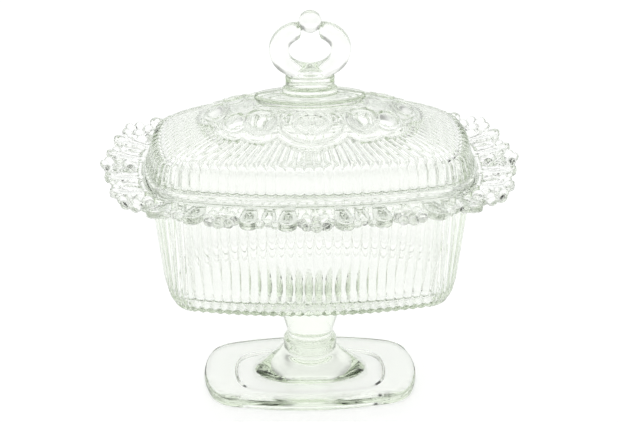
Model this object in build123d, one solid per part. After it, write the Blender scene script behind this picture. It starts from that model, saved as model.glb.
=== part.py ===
from build123d import *
import os
import math

# Footed covered dish in clear pressed glass.  Millimetres, +Z up, +X along the
# long side, -Y the front.  Origin: centre of the foot, on the surface it stands on.

# ------------------------------------------------------------------ dimensions
# Plan outline of the lid edge: a cushion shape of four bowed sides and corners
half_l = 80.0          # half length at the lid edge
half_w = 47.6          # half width at the lid edge
bow_front = 235.0      # radius of the bowed long sides
bow_end = 105.0        # radius of the bowed short sides
corner_r = 23.0        # corner radius
rib_count = 96         # ribs round the bowl and round the lid
rib_h = 0.9            # rib height over the valleys

# Foot
foot_l = 107.0         # overall length
foot_w = 71.0          # overall width
foot_edge = 4.6        # thickness at the edge
foot_top = 6.2         # height of the plate at the mound
recess_l = 74.0        # hollow in the underside
recess_w = 44.0
recess_d = 2.6
mound_l = 53.0         # oval mound under the stem
mound_w = 31.0
mound_z = 18.0         # height of the mound's top

# Stem, radii at heights
collar_r = 13.1
collar_z = 23.2
waist_r = 11.3
waist_z = 27.0
flare_r = 15.0
flare_z = 39.0

# Bowl
bowl_bot = 50.0        # underside of the bowl
floor_t = 4.2          # floor thickness
seat_z = 116.5         # seat that the lid rests on
bowl_top = 112.6       # where the ribbed wall meets the seat ring
wall_t = 3.4           # wall thickness under the ribs

# Lace rim
lace_in = 1.6          # offset of its inner edge from the lid edge
lace_out = 20.0        # offset of the lobe crests at the ends
lace_valley = 14.4     # offset of the valleys between the lobes at the ends
lace_grow = 5.6        # how much wider the lace is on the long sides
lace_t = 3.4           # thickness
lace_in_z = 117.4      # height of its upper face at the inner edge
lace_rise = 2.3        # rise of the upper face to the crests at the ends
lobes = 12             # lobes round the rim
bead_r = 2.6           # beads on the lobe crests
valley_bead_r = 1.9

# Lid
lid_gap = 0.2          # running gap between the lid's edge and its seat
edge_t = 3.0           # thickness of the plain edge of the lid
shoulder_z = 131.2     # top of the steep side wall
shoulder_in = 3.6      # how far the side wall leans in
band_lo_z = 141.0      # where the ribbed slope meets the relief band
crown_z = 150.2        # flat crown under the finial plate
lid_t = 3.2            # lid wall
lip_d = 4.0            # depth of the locating lip
lip_t = 2.4

# Finial
plate_l = 53.5         # oval plate
plate_w = 21.0
plate_top = 154.8
neck_l1 = 26.6         # lower step of the neck
neck_w1 = 14.0
neck_z1 = 158.6
neck_l2 = 23.4         # upper step of the neck
neck_w2 = 11.6
neck_z2 = 164.6
ring_z = 177.3         # centre of the ring
ring_r = 13.7          # radius of each of its two lobes
ring_dx = 5.9          # offset of the lobe centres
ring_t = 10.4          # thickness front to back
ball_r = 5.5
ball_z = 191.3

lift = 120.0           # travel that takes the lid clear

os.makedirs("parts", exist_ok=True)


# ------------------------------------------------------------------- outlines
class Cushion:
    """Closed outline of four bowed sides and four corner arcs, all tangent."""

    def __init__(self, a, b, r_front, r_end, rc):
        self.a, self.b, self.rf, self.re, self.rc = a, b, r_front, r_end, rc
        self.cf = -b + r_front          # y of the front arc's centre, at x = 0
        self.ce = a - r_end             # x of the right arc's centre, at y = 0
        # corner centre (front right): rf - rc from (0, cf), re - rc from (ce, 0)
        d = math.hypot(self.ce, self.cf)
        r0, r1 = r_front - rc, r_end - rc
        t = (r0 * r0 - r1 * r1 + d * d) / (2 * d)
        h = math.sqrt(max(r0 * r0 - t * t, 0.0))
        ux, uy = self.ce / d, -self.cf / d
        cands = [(t * ux + s * h * -uy, self.cf + t * uy + s * h * ux) for s in (1, -1)]
        self.kx, self.ky = max(cands, key=lambda p: p[0] - p[1])
        self.t1 = math.atan2(self.ky - self.cf, self.kx)         # from front arc to corner
        self.t2 = math.atan2(self.ky, self.kx - self.ce)         # from corner to end arc

    def lengths(self, d=0.0):
        l1 = (self.rf + d) * (self.t1 + math.pi / 2)
        l2 = (self.rc + d) * (self.t2 - self.t1)
        l3 = (self.re + d) * (0 - self.t2)
        return l1, l2, l3

    def quarter(self, f, along):
        """Angle data at fraction f of the front-right quarter, measured at offset along."""
        l1, l2, l3 = self.lengths(along)
        s = f * (l1 + l2 + l3)
        if s <= l1:
            return (0.0, self.cf, self.rf, -math.pi / 2 + s / (self.rf + along))
        if s <= l1 + l2:
            return (self.kx, self.ky, self.rc, self.t1 + (s - l1) / (self.rc + along))
        return (self.ce, 0.0, self.re, self.t2 + (s - l1 - l2) / (self.re + along))

    def point(self, u, d=0.0, along=0.0):
        """Point at fraction u of the whole outline from the front centre, anticlockwise."""
        u %= 1.0
        q = int(u * 4) % 4
        f = u * 4 - int(u * 4)
        g = f if q in (0, 2) else 1 - f
        cx, cy, r, t = self.quarter(g, along)
        x, y = cx + (r + d) * math.cos(t), cy + (r + d) * math.sin(t)
        sx = 1 if q in (0, 1) else -1
        sy = 1 if q in (0, 3) else -1
        return (sx * x, sy * y)

    def wire(self, z, d=0.0):
        """Smooth outline at height z, offset outwards by d."""
        l1, l2, l3 = self.lengths()
        tot = l1 + l2 + l3
        f1, f2 = l1 / tot / 4, (l1 + l2) / tot / 4
        # ends of the eight arcs, from the front side round
        ends = [-f1, f1, f2, 0.5 - f2, 0.5 - f1, 0.5 + f1, 0.5 + f2, 1 - f2]
        edges = []
        for i in range(8):
            u0 = ends[i]
            u1 = ends[(i + 1) % 8] + (1 if i == 7 else 0)
            if i == 7:
                u1 = 1 - f1
            p = [self.point(u, d) for u in (u0, (u0 + u1) / 2, u1)]
            edges.append(ThreePointArc(*[(x, y, z) for x, y in p]))
        return Wire(edges)


base = Cushion(half_l, half_w, bow_front, bow_end, corner_r)
foot_line = Cushion(foot_l / 2, foot_w / 2, 150.0, 62.0, 17.0)


def ribbed_wire(pts_valley, pts_crest, z):
    """Scalloped outline: arcs from valley to valley over the crests."""
    n = len(pts_valley)
    edges = []
    for i in range(n):
        a, c, b = pts_valley[i], pts_crest[i], pts_valley[(i + 1) % n]
        edges.append(ThreePointArc((*a, z), (*c, z), (*b, z)))
    return Wire(edges)


def ribbed_ring(d, z, h=rib_h):
    v = [base.point(i / rib_count, d) for i in range(rib_count)]
    c = [base.point((i + 0.5) / rib_count, d + h) for i in range(rib_count)]
    return ribbed_wire(v, c, z)


def loft_wires(wires, ruled=True):
    return Solid.make_loft(wires, ruled)


def prism(wire_fn, z0, z1):
    return loft_wires([wire_fn(z0), wire_fn(z1)])


def oval(l, w, z):
    return Wire([e for e in (Plane.XY.offset(z) * Ellipse(l / 2, w / 2)).edges()])


def one(shape):
    """The single solid in a shape."""
    s = sorted(shape.solids(), key=lambda k: -k.volume)
    return s[0]


nodes = {}

# ----------------------------------------------------------------------- foot
foot = loft_wires([foot_line.wire(0.0, -1.2), foot_line.wire(1.2), foot_line.wire(foot_edge - 1.0),
                   foot_line.wire(foot_edge, -0.9), foot_line.wire(foot_top, -19.0 + 3.4)])
recess_line = Cushion(recess_l / 2, recess_w / 2, 120.0, 50.0, 12.0)
foot = foot - loft_wires([recess_line.wire(-1.0, 0.6), recess_line.wire(recess_d, -2.0)])
nodes["foot_plate"] = foot

mound = loft_wires([oval(mound_l, mound_w, foot_top), oval(mound_l - 7, mound_w - 1.6, foot_top + 2.2),
                    oval(36.0, 28.2, foot_top + 6.2), oval(29.6, 27.0, mound_z)])
nodes["foot_mound"] = mound

# ----------------------------------------------------------------------- stem
stem_profile = [
    (0, mound_z), (12.4, mound_z), (collar_r, mound_z + 2.6), (collar_r, collar_z - 1.0),
    (collar_r - 0.9, collar_z + 0.8), (waist_r, waist_z - 1.2), (waist_r, waist_z + 1.4),
    (12.2, waist_z + 5.0), (13.6, flare_z - 3.6), (flare_r, flare_z),
    (16.0, flare_z + 5.0), (17.4, bowl_bot), (0, bowl_bot)]
with BuildPart() as stem_bp:
    with BuildSketch(Plane.XZ):
        with BuildLine():
            Polyline(*stem_profile, close=True)
        make_face()
    revolve(axis=Axis.Z)
nodes["stem"] = one(stem_bp.part)

# ----------------------------------------------------------------------- bowl
bowl = loft_wires([ribbed_ring(-18.2, bowl_bot, 0.2), ribbed_ring(-13.0, bowl_bot + 2.6, 0.4),
                   ribbed_ring(-9.9, bowl_bot + 7.6, 0.8), ribbed_ring(-8.3, bowl_bot + 13.0),
                   ribbed_ring(-2.6, bowl_top)])
cavity = loft_wires([base.wire(bowl_bot + floor_t, -22.5), base.wire(bowl_bot + floor_t + 2.2, -17.4),
                     base.wire(bowl_bot + 10.6, -13.4), base.wire(bowl_bot + 15.5, -8.2 - wall_t),
                     base.wire(bowl_top, -2.6 - wall_t), base.wire(bowl_top + 2.0, -2.4 - wall_t)])
nodes["bowl"] = one(bowl - cavity)

# Seat ring on top of the wall: flat ledge for the lid, low kerb round it
seat_hole = prism(lambda z: base.wire(z, -2.6 - wall_t), bowl_top - 1, lace_in_z + 3)
seat = prism(lambda z: base.wire(z, lace_in), bowl_top, lace_in_z) - seat_hole
seat = seat - prism(lambda z: base.wire(z, 0.5), seat_z, lace_in_z + 3)
nodes["lid_seat_ring"] = one(seat)

# ------------------------------------------------------------------ lace rim
far = lace_out + lace_grow + 4.0
run = far - lace_in
rise = lace_rise * run / (lace_out - lace_in)
low = lace_in_z - lace_t
lower = loft_wires([base.wire(low, lace_in), base.wire(low + rise, far)])
slab = prism(lambda z: base.wire(z, far), low + rise, lace_in_z + rise)
upper = loft_wires([base.wire(lace_in_z, lace_in), base.wire(lace_in_z + rise, far)])
inner = prism(lambda z: base.wire(z, lace_in), low - 2, lace_in_z + rise + 2)
flange = (lower + slab) - upper - inner

# scalloped outer edge: lobes centred on the sides, the ends and the corners
mid = 14.0


def grow(u):
    """Extra width at fraction u round the rim: all of it on the long sides, none at the ends."""
    return lace_grow * (0.5 + 0.5 * math.cos(4 * math.pi * u))


valley_pts = [base.point((i + 0.5) / lobes, lace_valley + grow((i + 0.5) / lobes), mid) for i in range(lobes)]
crest_pts = [base.point((i + 1.0) / lobes, lace_out + grow((i + 1.0) / lobes), mid) for i in range(lobes)]


def scallop(z):
    return ribbed_wire(valley_pts, crest_pts, z)


flange = flange & prism(scallop, low - 1, lace_in_z + rise + 1)

# eight runs, cut across the valleys between lobes; each has its own openings and beads
def top_z(d):
    return lace_in_z + lace_rise * (d - lace_in) / (lace_out - lace_in)


def eye(u, d, r):
    x, y = base.point(u, d, mid)
    return Pos(x, y, lace_in_z) * Cylinder(r, 30)


def bead(u, d, r):
    x, y = base.point(u, d, mid)
    x1, y1 = base.point(u, d + 1.0, mid)
    out = math.degrees(math.atan2(y1 - y, x1 - x))
    return Pos(x, y, top_z(d) - 1.5) * Rot(0, 0, out) * Sphere(r)


names = ["lace_front", "lace_corner_front_right", "lace_right", "lace_corner_back_right"]
cuts = [-1.5, 1.5, 2.5, 3.5, 4.5]
for k, name in enumerate(names):
    c0, c1 = cuts[k], cuts[k + 1]
    steps = 3 if c1 - c0 < 2 else 9
    pts = [base.point(c0 / lobes, -12, mid), base.point(c0 / lobes, 60, mid)]
    for j in range(1, steps):
        pts.append(base.point((c0 + (c1 - c0) * j / steps) / lobes, 90, mid))
    pts += [base.point(c1 / lobes, 60, mid), base.point(c1 / lobes, -12, mid)]
    wedge = extrude(make_face(Polyline(*[(x, y, low - 3) for x, y in pts], close=True)),
                    amount=20, dir=(0, 0, 1))
    run_k = one(one(flange).intersect(one(wedge)))
    holes, balls = [], []
    for i in range(math.ceil(c0), math.floor(c1) + 1):
        u, w = i / lobes, 1.0 / lobes
        g = grow(u)
        holes += [eye(u, lace_in + 11.8 + g, 2.9), eye(u - 0.235 * w, lace_in + 8.0 + 0.6 * g, 2.7),
                  eye(u + 0.235 * w, lace_in + 8.0 + 0.6 * g, 2.7)]
        for t in (-0.5, 0.5):
            holes.append(eye(u + t * w, lace_in + 5.6 + 0.5 * grow(u + t * w), 2.2))
        for t, d in ((-0.345, -3.4), (-0.18, -1.2), (0.0, -0.5), (0.18, -1.2), (0.345, -3.4)):
            balls.append(bead(u + t * w, lace_out + grow(u + t * w) + d, bead_r))
    for h in holes:
        run_k = one(run_k.cut(one(h)))
    run_k = one(run_k.fuse(*[one(x) for x in balls]))
    nodes[name] = run_k
# the other half of the rim is the same, turned half a turn
for name, twin in (("lace_back", "lace_front"), ("lace_corner_back_left", "lace_corner_front_right"),
                   ("lace_left", "lace_right"), ("lace_corner_front_left", "lace_corner_back_right")):
    nodes[name] = one(Rot(0, 0, 180) * nodes[twin])

# ------------------------------------------------------------------------ lid
z0 = seat_z + lid_gap
crown_line = Cushion(50.0, 25.0, 130.0, 60.0, 15.0)   # lower edge of the relief band
top_line = Cushion(26.6, 11.4, 90.0, 26.0, 6.5)       # edge of the flat crown


def fan_ring(line, d, z, h):
    v = [line.point(i / rib_count, d) for i in range(rib_count)]
    c = [line.point((i + 0.5) / rib_count, d + h) for i in range(rib_count)]
    return ribbed_wire(v, c, z)


edge = prism(lambda z: base.wire(z), z0, z0 + edge_t)
wall = loft_wires([ribbed_ring(-1.2 - rib_h, z0 + edge_t), ribbed_ring(-shoulder_in - rib_h, shoulder_z),
                   fan_ring(base, -shoulder_in - 2.6, shoulder_z + 1.5, 0.7)])
slope = loft_wires([fan_ring(base, -shoulder_in - 2.6, shoulder_z + 1.5, 0.7),
                    fan_ring(crown_line, 0.0, band_lo_z + 2.2, 0.25)])
crown = loft_wires([crown_line.wire(band_lo_z + 2.2, 0.0), top_line.wire(crown_z, 0.0)])
shell = edge + wall + slope + crown
hollow = loft_wires([base.wire(z0 - 1, -3.4), base.wire(z0 + edge_t, -1.2 - rib_h - lid_t + 0.4),
                     base.wire(shoulder_z - 1.8, -shoulder_in - rib_h - lid_t),
                     base.wire(shoulder_z - 0.2, -shoulder_in - rib_h - lid_t - 3.0)])
hollow2 = loft_wires([base.wire(shoulder_z - 0.2, -shoulder_in - rib_h - lid_t - 3.0),
                      crown_line.wire(band_lo_z - 1.6, -2.0)])
hollow3 = loft_wires([crown_line.wire(band_lo_z - 1.6, -2.0), top_line.wire(crown_z - lid_t - 1.0, -1.0)])
shell = shell - hollow - hollow2 - hollow3

# relief on the crown, standing proud of the shell: twelve oval medallions in one collar
# (centre, half sizes and tilt of each, and the width of the collar round it)
medallions = [(0.0, -20.0, 14.0, 8.4, 0.0, 4.0), (24.0, -15.9, 7.2, 6.9, -6.0, 5.4),
              (36.0, -14.6, 5.0, 5.3, -29.0, 5.2), (44.6, 0.0, 4.9, 8.2, 0.0, 4.6)]


def cap(h):
    """The crown and the slope below it, raised by h."""
    return loft_wires([base.wire(shoulder_z + 1.5 + h, -shoulder_in - 2.6), crown_line.wire(band_lo_z + 2.2 + h),
                       top_line.wire(crown_z + h)])


def oval_prism(cx, cy, a, b, turn):
    w = Wire([e for e in (Plane.XY.offset(band_lo_z - 9) * Pos(cx, cy, 0) * Rot(0, 0, turn) * Ellipse(a, b)).edges()])
    return extrude(make_face(w), amount=24, dir=(0, 0, 1))


ovals = []
for cx, cy, a, b, turn, wide in medallions:
    for sx, sy in ((1, 1), (-1, 1), (1, -1), (-1, -1)):
        if (cx == 0 and sx < 0) or (cy == 0 and sy < 0):
            continue
        ovals.append((sx * cx, sy * cy, a, b, sx * sy * turn, wide))
collar_area = prism(lambda z: crown_line.wire(z, 0.3), band_lo_z - 9, band_lo_z + 15).fuse(
    *[one(oval_prism(cx, cy, a + wide, b + wide, turn)) for cx, cy, a, b, turn, wide in ovals])
solid_shell = one(edge + wall + slope + crown)
band = one(one(cap(1.0)).intersect(one(collar_area)))
tall = one(cap(1.7))
band = one(band.fuse(*[one(tall.intersect(one(oval_prism(cx, cy, a, b, turn)))) for cx, cy, a, b, turn, _ in ovals]))
band = one(band.cut(solid_shell))
band = one(band.cut(prism(lambda z: oval(plate_l + 1.0, plate_w + 1.0, z), crown_z - 6, crown_z + 6)))
nodes["lid_shell"] = one(shell)
nodes["lid_relief_band"] = one(band)

# locating lip that drops inside the bowl
lip = prism(lambda z: base.wire(z, -2.6 - wall_t - 0.8), z0 - lip_d, z0 + 0.6) \
    - prism(lambda z: base.wire(z, -2.6 - wall_t - 0.8 - lip_t), z0 - lip_d - 1, z0 + 2)
nodes["lid_locating_lip"] = one(lip)

# --------------------------------------------------------------------- finial
plate = loft_wires([oval(plate_l - 3.0, plate_w - 3.0, crown_z), oval(plate_l, plate_w, crown_z + 1.8),
                    oval(plate_l, plate_w, plate_top - 1.0), oval(plate_l - 1.6, plate_w - 1.6, plate_top)])
nodes["finial_plate"] = plate

neck = loft_wires([oval(neck_l1, neck_w1, plate_top), oval(neck_l1, neck_w1, neck_z1)]) \
    + loft_wires([oval(neck_l2, neck_w2, neck_z1), oval(neck_l2, neck_w2, neck_z2)])
nodes["finial_neck"] = one(neck)

with BuildPart() as ring_bp:
    with BuildSketch(Plane.XZ):
        with Locations((ring_dx, ring_z), (-ring_dx, ring_z)):
            Circle(ring_r)
        # finger hole: broad bulb below, narrow throat above
        with Locations((0, ring_z - 0.4)):
            Ellipse(10.0, 6.7, mode=Mode.SUBTRACT)
        with BuildLine():
            Polyline((-9.2, ring_z + 1.2), (-6.6, ring_z + 3.4), (-4.2, ring_z + 6.6), (-3.9, ring_z + 9.5),
                     (-5.6, ring_z + 15), (5.6, ring_z + 15), (3.9, ring_z + 9.5), (4.2, ring_z + 6.6),
                     (6.6, ring_z + 3.4), (9.2, ring_z + 1.2), close=True)
        make_face(mode=Mode.SUBTRACT)
    extrude(amount=ring_t / 2, both=True)
ring = one(ring_bp.part)
rim_edges = [e for e in ring.edges() if abs(abs(e.center().Y) - ring_t / 2) < 0.01
         and math.hypot(abs(e.center().X) - ring_dx, e.center().Z - ring_z) > 8.0
         and e.geom_type == GeomType.CIRCLE]
try:
    ring = ring.fillet(3.2, rim_edges)
except Exception:
    ring = ring.chamfer(2.0, None, rim_edges)
ring = ring - Pos(0, 0, neck_z2 - 10) * Box(60, 30, 20)
ball = Pos(0, 0, ball_z) * Sphere(ball_r)
ring = ring - ball
nodes["finial_ring"] = one(ring)
nodes["finial_ball"] = one(ball)

for name, shape in nodes.items():
    export_step(shape, f"parts/{name}.step")
    bb = shape.bounding_box()
    print(f"{name:28s} {shape.is_valid} {shape.volume/1000:8.2f} cm3  x {bb.min.X:7.1f} {bb.max.X:7.1f}  y {bb.min.Y:7.1f} {bb.max.Y:7.1f}  z {bb.min.Z:7.1f} {bb.max.Z:7.1f}")
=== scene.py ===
import math
import bpy
import numpy as np
from mathutils import Matrix, Vector


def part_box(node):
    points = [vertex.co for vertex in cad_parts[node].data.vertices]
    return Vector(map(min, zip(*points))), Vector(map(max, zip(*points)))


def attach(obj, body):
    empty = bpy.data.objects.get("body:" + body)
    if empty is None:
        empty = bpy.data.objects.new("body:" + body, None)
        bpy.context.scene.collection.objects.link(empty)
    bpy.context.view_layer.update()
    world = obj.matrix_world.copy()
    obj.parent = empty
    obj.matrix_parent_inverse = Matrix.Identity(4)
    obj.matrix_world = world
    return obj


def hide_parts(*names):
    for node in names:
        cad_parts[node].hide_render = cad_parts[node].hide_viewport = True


# Footed covered dish in clear pressed glass.  Each of its two pressings is one
# continuous skin of glass, so that light meets no wall inside the glass.
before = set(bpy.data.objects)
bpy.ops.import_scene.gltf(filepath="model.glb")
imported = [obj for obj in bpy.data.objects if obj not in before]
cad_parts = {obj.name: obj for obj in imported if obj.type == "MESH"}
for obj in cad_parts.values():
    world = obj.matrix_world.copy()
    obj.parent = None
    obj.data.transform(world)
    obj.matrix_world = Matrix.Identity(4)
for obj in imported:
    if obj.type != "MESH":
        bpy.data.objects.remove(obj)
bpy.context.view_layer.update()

MM = 0.001

# ---------------------------------------------------------------- CAD heights
SEAT_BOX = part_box("lid_seat_ring")
BOWL_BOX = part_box("bowl")
LID_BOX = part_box("lid_shell")
FOOT_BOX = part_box("foot_plate")
PLATE_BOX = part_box("finial_plate")
NECK_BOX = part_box("finial_neck")
BALL_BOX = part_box("finial_ball")

half_l = LID_BOX[1][0] / MM          # 80
half_w = LID_BOX[1][1] / MM          # 47.6
bowl_bot = BOWL_BOX[0][2] / MM       # 50
bowl_top = BOWL_BOX[1][2] / MM       # 112.6
lace_in_z = SEAT_BOX[1][2] / MM      # 117.4
z_edge = LID_BOX[0][2] / MM          # 116.7
crown_z = PLATE_BOX[0][2] / MM       # 150.2
plate_top = PLATE_BOX[1][2] / MM     # 154.8
neck_top = NECK_BOX[1][2] / MM       # 164.6
ball_z = (BALL_BOX[0][2] + BALL_BOX[1][2]) / 2 / MM   # 191.3
foot_l = FOOT_BOX[1][0] / MM * 2
foot_w = FOOT_BOX[1][1] / MM * 2
seat_z = z_edge - 0.2
Z_SHOULDER = 132.9
RIBS = 96
LOBES = 12


# ------------------------------------------------------------- plan outlines
class Cushion:
    """Outline of four bowed sides and four corner arcs, all tangent."""

    def __init__(self, a, b, r_front, r_end, rc):
        self.rf, self.re, self.rc = r_front, r_end, rc
        self.cf = -b + r_front
        self.ce = a - r_end
        d = math.hypot(self.ce, self.cf)
        r0, r1 = r_front - rc, r_end - rc
        t = (r0 * r0 - r1 * r1 + d * d) / (2 * d)
        h = math.sqrt(max(r0 * r0 - t * t, 0.0))
        ux, uy = self.ce / d, -self.cf / d
        c = [(t * ux + s * h * -uy, self.cf + t * uy + s * h * ux) for s in (1, -1)]
        self.kx, self.ky = max(c, key=lambda p: p[0] - p[1])
        self.t1 = math.atan2(self.ky - self.cf, self.kx)
        self.t2 = math.atan2(self.ky, self.kx - self.ce)

    def at(self, u, d=0.0, along=0.0):
        """Points and outward normals at fractions u of the way round, from the front centre anticlockwise."""
        u = np.asarray(u, float) % 1.0
        q = np.minimum((u * 4).astype(int), 3)
        f = u * 4 - q
        g = np.where((q == 0) | (q == 2), f, 1 - f)
        l1 = (self.rf + along) * (self.t1 + math.pi / 2)
        l2 = (self.rc + along) * (self.t2 - self.t1)
        l3 = (self.re + along) * (-self.t2)
        s = g * (l1 + l2 + l3)
        a1, a2 = s <= l1, (s > l1) & (s <= l1 + l2)
        t = np.where(a1, -math.pi / 2 + s / (self.rf + along),
                     np.where(a2, self.t1 + (s - l1) / (self.rc + along),
                              self.t2 + (s - l1 - l2) / (self.re + along)))
        cx = np.where(a1, 0.0, np.where(a2, self.kx, self.ce))
        cy = np.where(a1, self.cf, np.where(a2, self.ky, 0.0))
        r = np.where(a1, self.rf, np.where(a2, self.rc, self.re))
        sx = np.where((q == 0) | (q == 1), 1.0, -1.0)
        sy = np.where((q == 0) | (q == 3), 1.0, -1.0)
        n = np.stack([sx * np.cos(t), sy * np.sin(t)], -1)
        d = np.asarray(d, float)
        p = np.stack([sx * (cx + (r + d) * np.cos(t)), sy * (cy + (r + d) * np.sin(t))], -1)
        return p, n

    def length(self, d=0.0):
        return 4 * ((self.rf + d) * (self.t1 + math.pi / 2) + (self.rc + d) * (self.t2 - self.t1)
                    + (self.re + d) * (-self.t2))


base = Cushion(half_l, half_w, 235.0, 105.0, 23.0)
foot_line = Cushion(foot_l / 2, foot_w / 2, 150.0, 62.0, 17.0)
recess_line = Cushion(37.0, 22.0, 120.0, 50.0, 12.0)
crown_line = Cushion(50.0, 25.0, 130.0, 60.0, 15.0)
top_line = Cushion(26.6, 11.4, 90.0, 26.0, 6.5)


def ellipse(u, a, b):
    """Ellipse sampled so that its points face the cushion's points at the same u."""
    t = u * 2 * math.pi - math.pi / 2
    p = np.stack([a * np.cos(t), b * np.sin(t)], -1)
    n = np.stack([np.cos(t) / a, np.sin(t) / b], -1)
    n /= np.linalg.norm(n, axis=1)[:, None]
    return p, n


# ------------------------------------------------------------------- meshing
class Skin:
    """A closed skin built ring by ring; rings may halve or quarter their count."""

    def __init__(self):
        self.v, self.faces, self.ring, self.n = [], [], None, 0

    def _push(self, pts):
        i = self.n
        self.v.append(pts)
        self.n += len(pts)
        return i

    def pole(self, x, y, z):
        i = self._push(np.array([[x, y, z]]))
        if self.ring is not None:
            s, m = self.ring
            a = s + np.arange(m)
            b = s + (np.arange(m) + 1) % m
            self.faces.append(np.stack([a, b, np.full(m, i), np.full(m, -1)], 1))
            self.ring = None
        else:
            self.start = i
            self.ring = None
            self.pending = i

    def add(self, pts):
        """pts: m x 3"""
        m = len(pts)
        i = self._push(pts)
        b = i + np.arange(m)
        b2 = i + (np.arange(m) + 1) % m
        if self.ring is None:
            p = self.pending
            self.faces.append(np.stack([np.full(m, p), b2, b, np.full(m, -1)], 1))
        else:
            s, k = self.ring
            if k == m:
                a = s + np.arange(m)
                a2 = s + (np.arange(m) + 1) % m
                self.faces.append(np.stack([a, a2, b2, b], 1))
            elif k > m:                      # many points down to few
                r = k // m
                j = np.arange(m)
                h = (r + 1) // 2
                for q in range(r):
                    a = s + j * r + q
                    a2 = s + (j * r + q + 1) % k
                    c = b if q < h else b2
                    self.faces.append(np.stack([a, a2, c, np.full(m, -1)], 1))
                mid = s + (j * r + h) % k
                self.faces.append(np.stack([mid, b2, b, np.full(m, -1)], 1))
            else:                            # few points up to many
                r = m // k
                j = np.arange(k)
                h = (r + 1) // 2
                a, a2 = s + j, s + (j + 1) % k
                for q in range(r):
                    c = i + j * r + q
                    c2 = i + (j * r + q + 1) % m
                    f = a if q < h else a2
                    self.faces.append(np.stack([f, c2, c, np.full(k, -1)], 1))
                mid = i + (j * r + h) % m
                self.faces.append(np.stack([a, a2, mid, np.full(k, -1)], 1))
        self.ring = (i, m)

    def arrays(self):
        return np.concatenate(self.v), np.concatenate(self.faces)


def make_object(name, verts, faces, flip=False):
    """faces: n x 4, the last index -1 on a triangle."""
    if flip:
        tri = faces[:, 3] < 0
        faces = np.where(tri[:, None], faces[:, [2, 1, 0, 3]], faces[:, [3, 2, 1, 0]])
    sizes = np.where(faces[:, 3] < 0, 3, 4)
    loops = faces.reshape(-1)
    loops = loops[loops >= 0]
    starts = np.concatenate([[0], np.cumsum(sizes)[:-1]])
    me = bpy.data.meshes.new(name)
    me.vertices.add(len(verts))
    me.vertices.foreach_set("co", (verts * MM).astype(np.float32).ravel())
    me.loops.add(len(loops))
    me.loops.foreach_set("vertex_index", loops.astype(np.int32))
    me.polygons.add(len(faces))
    me.polygons.foreach_set("loop_start", starts.astype(np.int32))
    me.polygons.foreach_set("loop_total", sizes.astype(np.int32))
    me.update(calc_edges=True)
    me.validate()
    ob = bpy.data.objects.new(name, me)
    bpy.context.scene.collection.objects.link(ob)
    return ob


def volume(verts, faces):
    """Enclosed volume, negative when the faces are wound inwards."""
    tri = [faces[:, [0, 1, 2]], faces[faces[:, 3] >= 0][:, [0, 2, 3]]]
    t = np.concatenate(tri)
    a, b, c = verts[t[:, 0]], verts[t[:, 1]], verts[t[:, 2]]
    return float(np.einsum("ij,ij->i", a, np.cross(b, c)).sum() / 6.0)


def closed_object(name, verts, faces):
    """A closed skin as an object, wound outwards."""
    return make_object(name, verts, faces, flip=volume(verts, faces) < 0)


def round_path(points, radii, step=0.35):
    """Polyline in a plane with rounded corners, as many points as its curves need."""
    out = [np.array(points[0], float)]
    for i in range(1, len(points) - 1):
        a, b, c = (np.array(points[k], float) for k in (i - 1, i, i + 1))
        r = radii[i]
        u, v = a - b, c - b
        lu, lv = np.linalg.norm(u), np.linalg.norm(v)
        u, v = u / lu, v / lv
        ang = math.acos(max(-1, min(1, float(u @ v))))
        if r <= 0 or ang > math.pi - 0.02:
            out.append(b)
            continue
        t = min(r / math.tan(ang / 2), 0.48 * lu, 0.48 * lv)
        r = t * math.tan(ang / 2)
        n = max(2, int(math.ceil((math.pi - ang) * r / step)), int(math.ceil((math.pi - ang) / 0.35)))
        m = (u + v) / np.linalg.norm(u + v)
        o = b + m * r / math.sin(ang / 2)
        p0, p1 = b + u * t - o, b + v * t - o
        th = math.pi - ang
        for k in range(n + 1):
            f = k / n
            p = (math.sin((1 - f) * th) * p0 + math.sin(f * th) * p1) / math.sin(th)
            out.append(o + p)
    out.append(np.array(points[-1], float))
    return np.array(out)


def fill_path(p, step):
    """Adds points on runs longer than step."""
    out = [p[0]]
    for a, b in zip(p[:-1], p[1:]):
        n = max(1, int(math.ceil(np.linalg.norm((b - a)[:2]) / step)))
        for k in range(1, n + 1):
            out.append(a + (b - a) * k / n)
    return np.array(out)


def smooth(x, a, b):
    t = np.clip((x - a) / (b - a), 0, 1)
    return t * t * (3 - 2 * t)


# ------------------------------------------------------------ implicit shapes
def smin(a, b, k):
    h = np.clip(0.5 + 0.5 * (b - a) / k, 0, 1)
    return b + (a - b) * h - k * h * (1 - h)


def sphere(p, c, r):
    return np.sqrt(((p - np.array(c)) ** 2).sum(-1)) - r


def capsule(p, a, b, r):
    a, b = np.array(a, float), np.array(b, float)
    ab = b - a
    t = np.clip(((p - a) @ ab) / (ab @ ab), 0, 1)
    return np.sqrt(((p - a - t[..., None] * ab) ** 2).sum(-1)) - r


def torus(p, c, big, r):
    q = p - np.array(c)
    return np.sqrt((np.sqrt(q[..., 0] ** 2 + q[..., 1] ** 2) - big) ** 2 + q[..., 2] ** 2) - r


def ellipsoid(p, c, rad):
    q = (p - np.array(c)) / np.array(rad)
    k = np.sqrt((q ** 2).sum(-1))
    return (k - 1) * min(rad)


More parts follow.
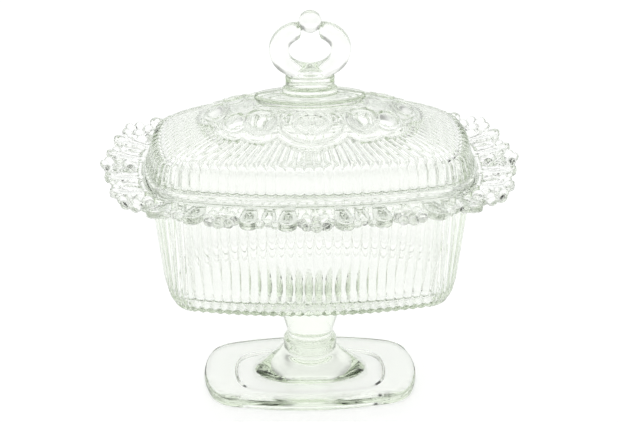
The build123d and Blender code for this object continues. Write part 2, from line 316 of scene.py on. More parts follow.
def surface_nets(fn, lo, hi, step, periodic_x=False):
    """Quads on the zero surface of fn between lo and hi; with periodic_x the box repeats along x."""
    n = [int(round((hi[k] - lo[k]) / step)) for k in range(3)]
    st = [(hi[k] - lo[k]) / n[k] for k in range(3)]
    ax = [lo[k] + st[k] * np.arange(n[k] + 1) for k in range(3)]
    f = np.empty((n[0] + 1, n[1] + 1, n[2] + 1))
    yy, zz = np.meshgrid(ax[1], ax[2], indexing="ij")
    for i, x in enumerate(ax[0]):
        f[i] = fn(np.stack([np.full_like(yy, x), yy, zz], -1))
    if periodic_x:
        f[-1] = f[0]
    inside = f < 0
    c = inside[:-1, :-1, :-1].astype(np.int8)
    tot = np.zeros_like(c)
    for dx in (0, 1):
        for dy in (0, 1):
            for dz in (0, 1):
                tot += inside[dx:n[0] + dx, dy:n[1] + dy, dz:n[2] + dz]
    mixed = (tot > 0) & (tot < 8)
    ids = -np.ones(mixed.shape, int)
    cells = np.argwhere(mixed)
    ids[mixed] = np.arange(len(cells))
    acc = np.zeros((len(cells), 3))
    cnt = np.zeros(len(cells))
    ci, cj, ck = cells.T
    corners = [(a, b, d) for a in (0, 1) for b in (0, 1) for d in (0, 1)]
    for p in corners:
        for axis in range(3):
            if p[axis] == 1:
                continue
            q = list(p)
            q[axis] = 1
            f0 = f[ci + p[0], cj + p[1], ck + p[2]]
            f1 = f[ci + q[0], cj + q[1], ck + q[2]]
            x = (f0 < 0) != (f1 < 0)
            t = np.where(x, f0 / np.where(x, f0 - f1, 1.0), 0)
            pos = np.array(p, float)[None].repeat(len(cells), 0)
            pos[:, axis] += t
            acc += np.where(x[:, None], pos, 0)
            cnt += x
    v = (acc / cnt[:, None] + cells) * np.array(st) + np.array(lo)
    quads, wraps = [], []
    for axis in range(3):
        o1, o2 = [(1, 2), (2, 0), (0, 1)][axis]
        s0 = [slice(None)] * 3
        s1 = [slice(None)] * 3
        s0[axis], s1[axis] = slice(0, -1), slice(1, None)
        a, b = inside[tuple(s0)], inside[tuple(s1)]
        e = np.argwhere(a != b)
        up = a[tuple(e.T)]
        g = []
        for d1, d2 in ((-1, -1), (0, -1), (0, 0), (-1, 0)):
            k = e.copy()
            k[:, o1] += d1
            k[:, o2] += d2
            g.append(k)
        ok = np.ones(len(e), bool)
        if periodic_x and axis != 0:
            ok &= e[:, 0] < n[0]          # the last plane repeats the first
        w = []
        for k in g:
            for m in range(3):
                if m == 0 and periodic_x:
                    continue
                ok &= (k[:, m] >= 0) & (k[:, m] < n[m])
        idx = []
        for k in g:
            back = np.zeros(len(k), int)
            kk = k.copy()
            if periodic_x:
                back = np.where(kk[:, 0] < 0, -1, 0)
                kk[:, 0] = kk[:, 0] % n[0]
            kk = np.where(ok[:, None], kk, 0)
            idx.append(ids[kk[:, 0], kk[:, 1], kk[:, 2]])
            w.append(back)
        idx, w = np.stack(idx, 1)[ok], np.stack(w, 1)[ok]
        up = up[ok]
        idx = np.where(up[:, None], idx, idx[:, ::-1])
        w = np.where(up[:, None], w, w[:, ::-1])
        quads.append(idx)
        wraps.append(w)
    quads, wraps = np.concatenate(quads), np.concatenate(wraps)
    # settle the points on the surface
    h = 0.04
    for _ in range(3):
        f0 = fn(v)
        gr = np.stack([(fn(v + np.eye(3)[k] * h) - fn(v - np.eye(3)[k] * h)) / (2 * h) for k in range(3)], -1)
        g2 = (gr ** 2).sum(-1)
        step_v = (f0 / np.maximum(g2, 0.05))[:, None] * gr
        ln = np.linalg.norm(step_v, axis=1)
        step_v *= np.minimum(1, 0.5 * step / np.maximum(ln, 1e-9))[:, None]
        v = v - step_v
    return v, quads, wraps


# ------------------------------------------------------------------ lace rim
MID = 14.0
LACE_D = 1.6                      # offset of the lace's inner edge from the lid's edge
LACE_GROW = 5.6                   # extra width along the dish's sides
TILE = base.length(MID) / LOBES


def lace_field(p):
    """One lobe and half the valleys beside it.  x along the rim, y outwards, z up."""
    half = TILE / 2
    rail = np.maximum(np.abs(p[..., 1] - 0.3) - 1.1, np.abs(p[..., 2] + 0.1) - 1.15)
    qy, qz = np.abs(p[..., 1] - 0.3) - 1.1, np.abs(p[..., 2] + 0.1) - 1.15
    rail = np.sqrt(np.maximum(qy, 0) ** 2 + np.maximum(qz, 0) ** 2) + np.minimum(np.maximum(qy, qz), 0) - 0.45
    f = rail
    x = np.abs(p[..., 0])
    m = np.stack([x, p[..., 1], p[..., 2]], -1)       # mirrored across the lobe
    # rosette: a ring of beads round a centre boss, on a short stem
    cy = 11.4
    parts = [torus(m, (0, cy, 0), 5.6, 1.25), capsule(m, (0, 0.5, 0), (0, 5.5, 0), 1.15)]
    for k in range(8):
        a = math.pi / 2 + k * math.pi / 4
        bx, by = 6.3 * math.cos(a), cy + 6.3 * math.sin(a)
        if bx > -0.1:
            parts.append(sphere(m, (bx, by, 0.4), 2.4))
    parts.append(sphere(m, (0, cy, 0.2), 2.3))
    parts += [capsule(m, (0, cy, -0.1), (5.4 * math.cos(a), cy + 5.4 * math.sin(a), -0.1), 0.8)
              for a in (math.pi / 2, 0.0, -math.pi / 2)]
    # smooth petals on both sides of the rosette, hollowed a little along their middles
    px, py = m[..., 0] - 12.9 - 0.05 * (m[..., 1] - 8.8), m[..., 1] - 8.8
    wide = 4.4 + 0.05 * py
    r = np.sqrt((px / wide) ** 2 + (py / 9.0) ** 2)
    petal = np.maximum((r - 1) * 4.4, np.abs(m[..., 2]) - 1.75 + 0.75 * np.clip(1 - r * 1.5, 0, 1))
    parts.append(smin(petal + 0.9, petal + 0.9, 0.1) - 0.9)
    parts.append(torus(np.stack([px * 4.4 / wide, py * 4.4 / 9.0, m[..., 2] * 0.8], -1), (0, 0, 0), 3.5, 0.95))
    parts.append(sphere(m, (13.2, 14.9, 0.2), 2.5))
    # loop and beads in the valley
    parts.append(torus(np.stack([m[..., 0] - half, (m[..., 1] - 6.4) * 0.62, m[..., 2]], -1), (0, 0, 0), 2.6, 1.05))
    parts.append(sphere(m, (half, 11.6, 0.3), 2.15))
    parts.append(sphere(m, (18.4, 13.9, 0.3), 2.15))
    g = parts[0]
    for part in parts[1:]:
        g = smin(g, part, 0.4)
    return smin(f, g, 0.9)


def lace_to_world(v, tile):
    """The lace is wider along the dish's sides, and turns up a little more at its ends."""
    s = tile * TILE + v[:, 0]
    u = s / (TILE * LOBES)
    side = 0.5 + 0.5 * np.cos(4 * math.pi * u)
    p, n = base.at(u, 0.0, MID)
    d = LACE_D + v[:, 1] + LACE_GROW * side * smooth(v[:, 1], 1.5, 9.0)
    p = p + n * d[:, None]
    t = np.clip((d - LACE_D) / (18.0 + LACE_GROW * side), -0.3, 1.3)
    lift = (3.2 - 1.6 * side) * (0.6 * t + 0.4 * np.clip(t, 0, None) ** 2)
    z = lace_in_z - 1.75 + lift + v[:, 2]
    return np.column_stack([p, z])


def lace_ring():
    v, quads, wraps = surface_nets(lace_field, (-TILE / 2, -4.6, -2.9), (TILE / 2, 20.9, 3.1), 0.47, True)
    nv = len(v)
    vs, fs = [], []
    for t in range(LOBES):
        vs.append(lace_to_world(v, t))
        fs.append(quads + ((t + wraps) % LOBES) * nv)
    return np.concatenate(vs), np.concatenate(fs)


# -------------------------------------------------------------------- dish
def rib_wave(u, count=RIBS):
    """0 in the valleys, 1 on the crests, rounded like reeds."""
    f = (u * count) % 1.0
    x = 2 * f - 1
    return np.sqrt(np.clip(1 - 0.86 * x * x, 0, 1)) * 1.6 - 0.6


def dish_skin():
    sk = Skin()
    n_in, n_rib, n_low = 480, 960, 240
    u_in, u_rib, u_low = (np.arange(k) / k for k in (n_in, n_rib, n_low))
    floor = bowl_bot + 4.2
    # inside: floor centre outwards, up the wall, over the seat
    sk.pole(0, 0, floor)
    ring, _ = base.at(u_in, -21.5)
    for s in (0.02, 0.08, 0.2, 0.35, 0.5, 0.65, 0.8, 0.92):
        sk.add(np.column_stack([ring * s, np.full(n_in, floor)]))
    inner = round_path([(-23.0, floor), (-18.0, floor + 0.5), (-13.2, bowl_bot + 10.8), (-11.6, bowl_bot + 16.0),
                        (-6.0, bowl_top), (-5.9, seat_z), (0.55, seat_z), (0.75, lace_in_z), (1.9, lace_in_z)],
                       [0, 5.0, 8.0, 20.0, 10.0, 0.9, 0.45, 0.4, 0], 0.4)
    inner = fill_path(inner, 5.0)
    for d, z in inner:
        p, _ = base.at(u_in, d)
        sk.add(np.column_stack([p, np.full(n_in, z)]))
    # outside: seat ring, ribbed wall, pointed band round the base
    top = round_path([(1.9, lace_in_z), (2.4, lace_in_z - 2.6), (1.2, bowl_top + 0.6), (-2.3, bowl_top - 0.5),
                      (-2.55, bowl_top - 3.0)], [0, 0.8, 0.9, 0.8, 0], 0.4)
    for d, z in top[1:]:
        p, _ = base.at(u_rib, d)
        sk.add(np.column_stack([p, np.full(n_rib, z)]))
    wall = round_path([(-2.6, bowl_top - 3.0), (-8.4, bowl_bot + 12.5), (-11.6, bowl_bot + 4.8),
                       (-16.8, bowl_bot + 0.5), (-22.0, bowl_bot)], [0, 30.0, 9.0, 8.0, 0], 0.45)
    wall = fill_path(wall, 0.62)
    ln = np.concatenate([[0], np.cumsum(np.linalg.norm(np.diff(wall, axis=0), axis=1))])
    # thin out the straight ribbed part
    z_band = bowl_bot + 10.4
    keep = [0]
    for i in range(1, len(wall)):
        if wall[i, 1] < z_band + 1.0 or ln[i] - ln[keep[-1]] > 3.0 or wall[i, 1] > bowl_top - 5:
            keep.append(i)
    wall, ln = wall[keep], ln[keep]
    l_band0 = np.interp(-z_band, -wall[:, 1], ln)
    l_band1 = l_band0 + 10.6
    rv = rib_wave(u_rib)
    for i, (d, z) in enumerate(wall[1:], 1):
        p, n = base.at(u_rib, d)
        a = wall[min(i + 1, len(wall) - 1)] - wall[i - 1]
        a /= np.linalg.norm(a)
        nd, nz = -a[1], a[0]                      # outward normal of the profile
        l = ln[i]
        amp = 0.95 * smooth(l, 0.0, 2.2) * (1 - smooth(l, l_band0 - 0.5, l_band0 + 0.5))
        h = amp * (rv - 0.15)
        w = (l - l_band0) / (l_band1 - l_band0)
        if -0.1 < w < 1.1:
            rows = 0.0
            for row in (0.25, 0.75):
                ph = u_rib * RIBS + (0.5 if row < 0.5 else 0.0)
                du = np.abs((ph % 1.0) - 0.5) * 2
                dv = abs(w - row) / 0.25
                rows = np.maximum(rows, np.clip(1.25 - du - 0.75 * dv, 0, 1) * max(0.0, 1 - max(0.0, dv - 0.9) * 6))
            edge = smooth(w, -0.05, 0.05) * (1 - smooth(w, 0.95, 1.05))
            h = h + edge * (1.2 * np.sqrt(np.clip(rows, 0, 1)) - 0.15)
        sk.add(np.column_stack([p + n * (nd * h)[:, None], z + nz * h]))
    # underside of the bowl to the stem
    p0, _ = base.at(u_low, -22.0)
    p1, _ = ellipse(u_low, 17.0, 17.0)
    for f in (0.0, 0.25, 0.5, 0.75, 0.92):
        p = p0 * (1 - f) + p1 * f
        sk.add(np.column_stack([p, np.full(n_low, bowl_bot - 0.4 * f)]))
    stem = round_path([(19.0, 49.6), (16.4, 45.0), (14.6, 38.6), (12.6, 32.0), (11.3, 27.6), (11.3, 25.9),
                       (12.4, 24.4), (13.2, 23.2), (13.2, 20.4), (12.9, 18.4), (14.2, 17.2)],
                      [0, 3, 12, 12, 3, 0.5, 0.5, 0.8, 0.8, 0.3, 0], 0.45)
    stem = fill_path(stem, 1.0)
    for r, z in stem:
        p, _ = ellipse(u_low, r, r)
        sk.add(np.column_stack([p, np.full(n_low, z)]))
    # oval mound, then the foot
    mound = [(15.0, 13.9, 16.4), (17.4, 14.5, 14.5), (19.9, 15.1, 12.4), (22.3, 15.7, 10.5), (24.5, 16.3, 8.9),
             (26.4, 17.0, 7.7), (27.8, 17.6, 6.9), (29.2, 18.3, 6.35)]
    for a, b, z in mound:
        p, _ = ellipse(u_low, a, b)
        sk.add(np.column_stack([p, np.full(n_low, z)]))
    pm, _ = ellipse(u_low, 29.2, 18.3)
    pf, _ = foot_line.at(u_low, -7.0)
    for f in (0.15, 0.35, 0.6, 0.8):
        sk.add(np.column_stack([pm * (1 - f) + pf * f, np.full(n_low, 6.35 - 0.9 * f)]))
    edge = round_path([(-7.0, 5.45), (-0.6, 4.7), (0.0, 2.6), (-0.5, 0.0), (-10.0, 0.0)],
                      [0, 1.3, 3.0, 1.0, 0], 0.3)
    for d, z in edge:
        p, _ = foot_line.at(u_low, d)
        sk.add(np.column_stack([p, np.full(n_low, z)]))
    hollow = round_path([(2.2, 0.0), (0.6, 0.05), (-0.4, 2.4), (-4.0, 3.0)], [0, 0.5, 0.9, 0], 0.3)
    for d, z in hollow:
        p, _ = recess_line.at(u_low, d)
        sk.add(np.column_stack([p, np.full(n_low, z)]))
    pr, _ = recess_line.at(u_low, -4.0)
    for s in (0.85, 0.7, 0.5, 0.3, 0.12):
        sk.add(np.column_stack([pr * s, np.full(n_low, 3.0 + 0.5 * (1 - s))]))
    sk.pole(0, 0, 3.52)
    return sk.arrays()


# --------------------------------------------------------------------- lid
# medallions of the crown: centre, half sizes, tilt, width of the plain collar round each
MEDALLIONS = ((0.0, -20.0, 14.0, 8.4, 0.0, 4.0), (24.0, -15.9, 7.2, 6.9, -0.10, 5.4),
              (36.0, -14.6, 5.0, 5.3, -0.5, 5.2), (44.6, 0.0, 4.9, 8.2, 0.0, 4.6))


def crown_relief(x, y, e_line):
    """Height of the pattern on the crown, and how far the ribs are covered by it.

    x, y are plan points; e_line is the distance outside the crown's outline."""
    x, y = np.abs(x), -np.abs(y)
    near = np.full_like(x, 99.0)
    collar = e_line.copy()
    h = np.zeros_like(x)
    for k, (cx, cy, a, b, tilt, wide) in enumerate(MEDALLIONS):
        dx, dy = x - cx, y - cy
        p = dx * math.cos(tilt) + dy * math.sin(tilt)
        q = -dx * math.sin(tilt) + dy * math.cos(tilt)
        r = np.sqrt((p / a) ** 2 + (q / b) ** 2) + 1e-9
        e = (r - 1) * r / np.sqrt((p / (a * a)) ** 2 + (q / (b * b)) ** 2 + 1e-9)
        near = np.minimum(near, e)
        collar = np.minimum(collar, e - wide)
        if k == 0:
            h = np.maximum(h, 0.35 * (1 - smooth(e, -1.2, 0.2)))
            ri = np.sqrt((p / 7.6) ** 2 + ((q - 0.2) / 4.8) ** 2)
            h = np.maximum(h, 0.35 + 0.85 * np.exp(-((ri - 1) / 0.12) ** 2)) * (e < 0) + h * (e >= 0)
            for s_ in (-1, 1):
                lp = np.sqrt(((p - s_ * 2.7) / 1.7) ** 2 + ((q - 0.9) / 2.3) ** 2)
                h = h + 1.0 * np.clip(1 - lp * lp, 0, 1) ** 0.8
            bud = np.sqrt((p / 2.0) ** 2 + ((q + 2.6) / 1.1) ** 2)
            h = h + 0.7 * np.clip(1 - bud * bud, 0, 1) ** 0.8
        else:
            h = np.where(e < 0, np.maximum(h, 0.15 + 1.45 * np.clip(1 - (r / 0.84) ** 2, 0, 1) ** 0.62), h)
        h = np.maximum(h, 1.35 * np.exp(-(e / 0.60) ** 2))
    # swag over the front medallion
    pts = ((7.6, -10.0), (12.4, -10.8), (16.4, -12.4), (19.2, -14.9))
    for (x0, y0), (x1, y1) in zip(pts[:-1], pts[1:]):
        ux, uy = x1 - x0, y1 - y0
        t = np.clip(((x - x0) * ux + (y - y0) * uy) / (ux * ux + uy * uy), 0, 1)
        dist = np.hypot(x - x0 - t * ux, y - y0 - t * uy)
        h = np.maximum(h, 1.25 * np.exp(-(dist / 0.6) ** 2))
    cover = 1 - smooth(collar, -0.35, 0.3)
    h = np.maximum(h, 0.85 * np.exp(-((collar + 0.2) / 0.55) ** 2))
    return h + 0.6 * cover, cover


def lid_skin():
    sk = Skin()
    n_in, n_rib, n_low = 384, 768, 192
    u_in, u_rib, u_low = (np.arange(k) / k for k in (n_in, n_rib, n_low))
    t = 3.2
    sk.pole(0, 0, crown_z - t)
    pt, _ = top_line.at(u_in, -1.0)
    for s in (0.03, 0.15, 0.35, 0.6, 0.8):
        sk.add(np.column_stack([pt * s, np.full(n_in, crown_z - t - 0.15 * s)]))
    pc, _ = crown_line.at(u_in, -2.0)
    ps, _ = base.at(u_in, -10.7)
    for f in np.linspace(0, 1, 9):
        z = (crown_z - t - 0.6) * (1 - f) + 139.0 * f + 0.9 * math.sin(math.pi * f)
        sk.add(np.column_stack([pt * (1 - f) + pc * f, np.full(n_in, z)]))
    for f in np.linspace(0.12, 1, 8):
        z = 139.0 * (1 - f) + 131.6 * f
        sk.add(np.column_stack([pc * (1 - f) + ps * f, np.full(n_in, z)]))
    inner = round_path([(-10.7, 131.6), (-7.8, 130.4), (-5.7, 121.0), (-9.2, 117.4), (-9.1, 112.9), (-6.9, 112.9),
                        (-6.7, z_edge), (-0.35, z_edge), (0.0, z_edge + 1.2), (0.0, z_edge + 2.4), (-0.9, z_edge + 3.0),
                        (-1.35, z_edge + 3.1)],
                       [0, 2.4, 3.0, 2.0, 0.9, 0.9, 0.5, 0.35, 0.3, 0.5, 0.3, 0], 0.4)
    inner = fill_path(inner, 3.0)
    for d, z in inner:
        p, _ = base.at(u_in, d)
        sk.add(np.column_stack([p, np.full(n_in, z)]))
    # ribbed side wall up to the shoulder
    side = round_path([(-1.35, z_edge + 3.1), (-1.8, z_edge + 3.6), (-4.2, 130.3), (-8.0, Z_SHOULDER)],
                      [0, 0.4, 3.0, 0], 0.5)
    side = fill_path(side, 2.2)
    rv = rib_wave(u_rib)
    side_l = np.concatenate([[0], np.cumsum(np.linalg.norm(np.diff(side, axis=0), axis=1))])
    for i, (d, z) in enumerate(side[1:-1], 1):
        p, n = base.at(u_rib, d)
        a = side[i + 1] - side[i - 1]
        a /= np.linalg.norm(a)
        nd, nz = a[1], -a[0]
        amp = 1.2 * smooth(side_l[i], 0.2, 2.4) * (1 - 0.75 * math.exp(-((side_l[-1] - side_l[i]) / 0.9) ** 2))
        h = amp * (rv - 0.2)
        sk.add(np.column_stack([p + n * (nd * h)[:, None], z + nz * h]))
    # ribbed slope, fanning in to the crown, whose relief covers the ribs' upper ends
    p0, _ = base.at(u_rib, -8.0)
    p1, _ = crown_line.at(u_rib, 0.0)
    p2, _ = top_line.at(u_rib, 0.0)
    z_cr = 143.2
    run = np.linalg.norm(p1 - p0, axis=1)
    slope = [(0, f) for f in np.concatenate([np.linspace(0, 0.28, 4)[:-1], np.linspace(0.28, 1, 43)])]
    slope += [(1, w) for w in np.linspace(0, 1, 45)[1:]]
    for part, f in slope:
        if part == 0:
            q0, q1, z0, z1, bulge = p0, p1, Z_SHOULDER, z_cr, 0.7
            e_line = run * (1 - f)
        else:
            q0, q1, z0, z1, bulge = p1, p2, z_cr, crown_z, 0.7
            e_line = -np.linalg.norm(p2 - p1, axis=1) * f
        p = q0 * (1 - f) + q1 * f
        z = z0 * (1 - f) + z1 * f + bulge * math.sin(math.pi * f)
        d = np.linalg.norm(q1 - q0, axis=1)
        hyp = np.hypot(d, z1 - z0)
        nz, nr = d / hyp, (z1 - z0) / hyp
        out = (q0 - q1) / d[:, None]
        relief, cover = crown_relief(p[:, 0], p[:, 1], e_line)
        if part == 0:
            amp = (1.12 - 0.5 * f) * (1 - 0.75 * math.exp(-(f * 18 / 0.9) ** 2))
        else:
            amp = 0.0
        h = amp * (rv - 0.2) * (1 - cover) + relief
        if part == 1:
            h = h * (1 - smooth(f, 0.95, 1.0))
        sk.add(np.column_stack([p + out * (h * nr)[:, None], z + h * nz]))
    # plate, neck
    for a, b, z in [(25.6, 9.9, crown_z + 0.2), (25.2, 9.5, crown_z + 0.6), (25.4, 9.6, crown_z + 1.2),
                    (26.2, 10.2, crown_z + 1.9), (26.7, 10.5, crown_z + 2.6), (26.75, 10.5, crown_z + 3.4),
                    (26.5, 10.3, plate_top - 0.6), (26.0, 9.9, plate_top - 0.15), (25.2, 9.3, plate_top),
                    (20.0, 8.4, plate_top + 0.1), (15.0, 7.6, plate_top + 0.15), (13.8, 7.2, plate_top + 0.3),
                    (13.4, 6.95, plate_top + 0.8), (13.3, 6.9, plate_top + 2.0), (13.25, 6.85, plate_top + 3.0),
                    (13.0, 6.6, plate_top + 3.6), (12.4, 6.1, plate_top + 3.9), (11.9, 5.8, plate_top + 4.2),
                    (11.7, 5.7, plate_top + 5.0), (11.7, 5.7, plate_top + 6.5), (11.8, 5.7, neck_top - 1.2),
                    (11.6, 5.5, neck_top - 0.5), (11.0, 5.0, neck_top - 0.1), (9.5, 4.0, neck_top),
                    (6.0, 2.4, neck_top), (2.0, 0.8, neck_top)]:
        p, _ = ellipse(u_low, a, b)
        sk.add(np.column_stack([p, np.full(n_low, z)]))
    sk.pole(0, 0, neck_top)
    return sk.arrays()


def ring_field(p):
    """Open ring with curled ends under a ball.  x across, y front to back, z up."""
    x, y, z = np.abs(p[..., 0]), p[..., 1], p[..., 2]
    cz = 177.3
    # flat outline: two round lobes less a keyhole
    out = np.sqrt((x - 5.9) ** 2 + (z - cz) ** 2) - 13.7
    out = np.where(x < 0.0, out, out)
    kx, kz = x / 10.0, (z - (cz - 0.4)) / 6.7
    k = np.sqrt(kx ** 2 + kz ** 2)
    bulb = (k - 1) * 6.7 / np.maximum(1e-6, np.sqrt((kx / np.maximum(k, 1e-6)) ** 2 * (6.7 / 10.0) ** 2
                                                    + (kz / np.maximum(k, 1e-6)) ** 2))
    # throat, narrowing upwards with concave shoulders
    tz = z - (cz + 2.0)
    width = 3.7 + 4.6 * np.exp(-np.clip(tz, 0, None) / 2.9)
    throat = np.where(tz > -2.0, (x - width) * 0.9, 5.0 + x * 0)
    hole = smin(bulb, np.maximum(throat, -(tz + 1.5)), 0.8)
    flat = -smin(-out, hole, 0.0001)
    flat = np.maximum(out, -hole)
    r0, half = 4.8, 5.2
    e = np.clip((r0 + flat) / r0, 0, None)
    f = (np.sqrt(e ** 2 + (y / half) ** 2) - 1) * 4.2
    ball = np.sqrt(x ** 2 + y ** 2 + (z - ball_z) ** 2) - 5.5
    # stub into the neck
    base_z = neck_top - 1.0
    qx, qy = x / 10.4, y / 4.9
    stub = (np.sqrt(qx ** 2 + qy ** 2) - 1) * 4.9
    stub = np.maximum(stub, np.maximum(z - (base_z + 1.6), (base_z - 2.0) - z))
    f = smin(f, stub, 1.6)
    return smin(f, ball, 0.5)


def extent(ob):
    co = np.empty(len(ob.data.vertices) * 3)
    ob.data.vertices.foreach_get("co", co)
    co = co.reshape(-1, 3)
    return co.min(0), co.max(0)


def union(a, b):
    (lo_a, hi_a), (lo_b, hi_b) = extent(a), extent(b)
    mod = a.modifiers.new("join", "BOOLEAN")
    mod.operation = "UNION"
    mod.solver = "MANIFOLD"
    mod.object = b
    bpy.context.view_layer.objects.active = a
    dg = bpy.context.evaluated_depsgraph_get()
    me = bpy.data.meshes.new_from_object(a.evaluated_get(dg), depsgraph=dg)
    a.modifiers.remove(mod)
    old = a.data
    a.data = me
    bpy.data.meshes.remove(old)
    lo, hi = extent(a)
    slack = 5e-5
    if (lo > np.minimum(lo_a, lo_b) + slack).any() or (hi < np.maximum(hi_a, hi_b) - slack).any():
        raise RuntimeError("joining %s to %s lost part of it: one of them isn't closed" % (b.name, a.name))
    bpy.data.objects.remove(b)


def finish_mesh(ob):
    me = ob.data
    me.shade_smooth()
    me.set_sharp_from_angle(angle=math.radians(50))
    me.name = ob.name


v, f = dish_skin()
dish = closed_object("dish_glass", v, f)
lv, lf = lace_ring()
lace = closed_object("lace", lv, np.asarray(lf))
union(dish, lace)
finish_mesh(dish)

v, f = lid_skin()
lid = closed_object("lid_glass", v, f)
rv_, rq, _ = surface_nets(ring_field, (-20.5, -6.2, 160.5), (20.5, 6.2, 197.5), 0.42)
ring = closed_object("ring", rv_, rq)
union(lid, ring)
finish_mesh(lid)


# ------------------------------------------------------------------ materials
def glass_material(name, ripple):
    mat = bpy.data.materials.new(name)
    mat.use_nodes = True
    nt = mat.node_tree
    b = nt.nodes["Principled BSDF"]
    # painted shade: the base colour greys towards glancing angles, which draws dark outlines round rings, beads and
    # ribs
    glance = nt.nodes.new("ShaderNodeLayerWeight")
    glance.inputs["Blend"].default_value = 0.5
    rim = nt.nodes.new("ShaderNodeMapRange")
    rim.interpolation_type = "SMOOTHSTEP"
    rim.inputs["From Min"].default_value = 0.42
    rim.inputs["From Max"].default_value = 0.95
    nt.links.new(glance.outputs["Facing"], rim.inputs["Value"])
    # mix from the clear glass colour to a painted grey-green shade on glancing faces
    painted_edge_shade = nt.nodes.new("ShaderNodeMix")
    painted_edge_shade.data_type = "RGBA"
    painted_edge_shade.inputs["A"].default_value = (0.992, 0.996, 0.989, 1)
    painted_edge_shade.inputs["B"].default_value = (0.60, 0.65, 0.60, 1)
    nt.links.new(rim.outputs["Result"], painted_edge_shade.inputs["Factor"])
    nt.links.new(painted_edge_shade.outputs["Result"], b.inputs["Base Color"])
    b.inputs["Transmission Weight"].default_value = 1.0
    b.inputs["IOR"].default_value = 1.52
    b.inputs["Roughness"].default_value = 0.0
    geo = nt.nodes.new("ShaderNodeTexCoord")
    # soft waviness that hot glass takes from the mould, and finer chill marks
    wave = nt.nodes.new("ShaderNodeTexNoise")
    wave.inputs["Scale"].default_value = 95.0
    wave.inputs["Detail"].default_value = 2.0
    wave.inputs["Roughness"].default_value = 0.4
    fine = nt.nodes.new("ShaderNodeTexNoise")
    fine.inputs["Scale"].default_value = 520.0
    fine.inputs["Detail"].default_value = 3.0
    nt.links.new(geo.outputs["Object"], wave.inputs["Vector"])
    nt.links.new(geo.outputs["Object"], fine.inputs["Vector"])
    add = nt.nodes.new("ShaderNodeMath")
    add.operation = "MULTIPLY_ADD"
    add.inputs[1].default_value = 0.05
    nt.links.new(fine.outputs["Fac"], add.inputs[0])
    nt.links.new(wave.outputs["Fac"], add.inputs[2])
    bump = nt.nodes.new("ShaderNodeBump")
    bump.inputs["Strength"].default_value = ripple
    bump.inputs["Distance"].default_value = 0.0006
    nt.links.new(add.outputs[0], bump.inputs["Height"])
    nt.links.new(bump.outputs["Normal"], b.inputs["Normal"])
    # polish varies a little
    rr = nt.nodes.new("ShaderNodeMapRange")
    rr.inputs["From Min"].default_value = 0.35
    rr.inputs["From Max"].default_value = 0.75
    rr.inputs["To Min"].default_value = 0.0
    rr.inputs["To Max"].default_value = 0.045
    nt.links.new(fine.outputs["Fac"], rr.inputs["Value"])
    nt.links.new(rr.outputs["Result"], b.inputs["Roughness"])
    # thick glass shows the faint green of its iron
    vol = nt.nodes.new("ShaderNodeVolumeAbsorption")
    vol.inputs["Color"].default_value = (0.28, 0.56, 0.0, 1)
    vol.inputs["Density"].default_value = 4.3
    nt.links.new(vol.outputs["Volume"], nt.nodes["Material Output"].inputs["Volume"])
    return mat


glass_dish = glass_material("glass_dish", 0.2)
glass_lid = glass_material("glass_lid", 0.2)
for ob, mat, body, nodes in (
        (dish, glass_dish, "dish", ["foot_plate", "foot_mound", "stem", "bowl", "lid_seat_ring", "lace_front",
                                    "lace_corner_front_right", "lace_right", "lace_corner_back_right", "lace_back",
                                    "lace_corner_back_left", "lace_left", "lace_corner_front_left"]),
        (lid, glass_lid, "lid", ["lid_shell", "lid_locating_lip", "lid_relief_band", "finial_plate",
                                 "finial_neck", "finial_ring", "finial_ball"])):
    ob.data.materials.clear()
    ob.data.materials.append(mat)
    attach(ob, body)
    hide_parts(*nodes)


# ---------------------------------------------------------------------- stage
def floor_piece():
    n = 24
    g = np.linspace(-2.5, 2.5, n + 1)
    xx, yy = np.meshgrid(g, g, indexing="ij")
    v = np.column_stack([xx.ravel() * 1000, yy.ravel() * 1000, np.full(xx.size, -0.02)])
    i = np.arange(n)[:, None] * (n + 1) + np.arange(n)[None]
    f = np.stack([i, i + n + 1, i + n + 2, i + 1], -1).reshape(-1, 4)
    return make_object("floor", v, f)


floor = floor_piece()
fm = bpy.data.materials.new("floor_white")
fm.use_nodes = True
fb = fm.node_tree.nodes["Principled BSDF"]
fb.inputs["Base Color"].default_value = (0.62, 0.62, 0.62, 1)
fb.inputs["Emission Color"].default_value = (1.0, 1.0, 1.0, 1)
fb.inputs["Emission Strength"].default_value = 0.50
fb.inputs["Roughness"].default_value = 0.6
fb.inputs["Specular IOR Level"].default_value = 0.2
floor.data.materials.append(fm)

world = bpy.data.worlds.new("studio")
bpy.context.scene.world = world
world.use_nodes = True
wn = world.node_tree
bg = wn.nodes["Background"]
tc = wn.nodes.new("ShaderNodeTexCoord")
sep = wn.nodes.new("ShaderNodeSeparateXYZ")
wn.links.new(tc.outputs["Generated"], sep.inputs[0])


def wmath(op, *values):
    n = wn.nodes.new("ShaderNodeMath")
    n.operation = op
    for i, v in enumerate(values):
        if isinstance(v, (int, float)):
            n.inputs[i].default_value = v
        else:
            wn.links.new(v, n.inputs[i])
    return n.outputs[0]


def hump(value, centre, width):
    """1 at the centre, falling smoothly to 0 at width on either side."""
    off = wmath("ABSOLUTE", wmath("SUBTRACT", value, centre))
    n = wn.nodes.new("ShaderNodeMapRange")
    n.interpolation_type = "SMOOTHERSTEP"
    n.inputs["From Min"].default_value = width
    n.inputs["From Max"].default_value = width * 0.35
    wn.links.new(off, n.inputs["Value"])
    return n.outputs["Result"]


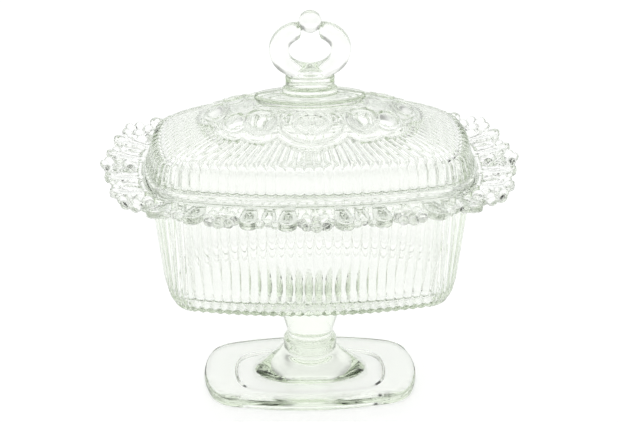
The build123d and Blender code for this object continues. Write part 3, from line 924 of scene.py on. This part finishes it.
# a bright room with two dark flats standing to the sides of the table's front
X, Y, Z = sep.outputs["X"], sep.outputs["Y"], sep.outputs["Z"]
turn = wmath("ARCTAN2", X, wmath("MULTIPLY", Y, -1.0))
right = wmath("MULTIPLY", hump(turn, 1.20, 0.80), hump(Z, 0.20, 0.50))
left = wmath("MULTIPLY", hump(turn, -1.10, 0.48), hump(Z, 0.20, 0.42))
upper = hump(Z, 0.36, 0.42)
front = wmath("MULTIPLY", hump(turn, 0.0, 1.00), hump(Z, 0.34, 0.44))
level = wmath("SUBTRACT", 1.18, wmath("MULTIPLY", wmath("MAXIMUM", right, left), 1.16))
level = wmath("SUBTRACT", level, wmath("MULTIPLY", upper, 0.22))
# two more behind the table, low and off to the sides
far = wmath("MULTIPLY", hump(turn, 2.35, 0.55), hump(Z, 0.22, 0.36))
level = wmath("SUBTRACT", level, wmath("MULTIPLY", far, 0.55))
far = wmath("MULTIPLY", hump(turn, -2.35, 0.50), hump(Z, 0.22, 0.36))
level = wmath("SUBTRACT", level, wmath("MULTIPLY", far, 0.40))
level = wmath("SUBTRACT", level, wmath("MULTIPLY", front, 0.75))
level = wmath("MAXIMUM", level, 0.02)
# the flats shade the glass but stand outside every picture
path = wn.nodes.new("ShaderNodeLightPath")
level = wmath("MAXIMUM", level, wmath("MULTIPLY", path.outputs["Is Camera Ray"], 1.16))
wn.links.new(level, bg.inputs["Strength"])
bg.inputs["Color"].default_value = (1.0, 1.0, 1.0, 1)

# --------------------------------------------------------------------- camera
ELEV, AZ, DIST = math.radians(25.0), math.radians(-2.5), 1.150
target = Vector((0.0, 0.0, 0.0925))
back = Vector((math.sin(AZ) * math.cos(ELEV), -math.cos(AZ) * math.cos(ELEV), math.sin(ELEV)))
cam_data = bpy.data.cameras.new("camera")
cam = bpy.data.objects.new("camera", cam_data)
bpy.context.scene.collection.objects.link(cam)
cam.location = target + back * DIST
cam.rotation_mode = "QUATERNION"
cam.rotation_quaternion = (-back).to_track_quat("-Z", "Y")
cam_data.sensor_width = 36.0
cam_data.lens = 36.0 * (DIST * 1000 / 0.49) / 620.0
cam_data.clip_start, cam_data.clip_end = 0.05, 20.0
bpy.context.scene.camera = cam

sc = bpy.context.scene
sc.view_settings.view_transform = "Standard"
sc.cycles.max_bounces = 32
sc.cycles.transmission_bounces = 32
sc.cycles.glossy_bounces = 12
sc.cycles.transparent_max_bounces = 16
sc.cycles.blur_glossy = 0.2
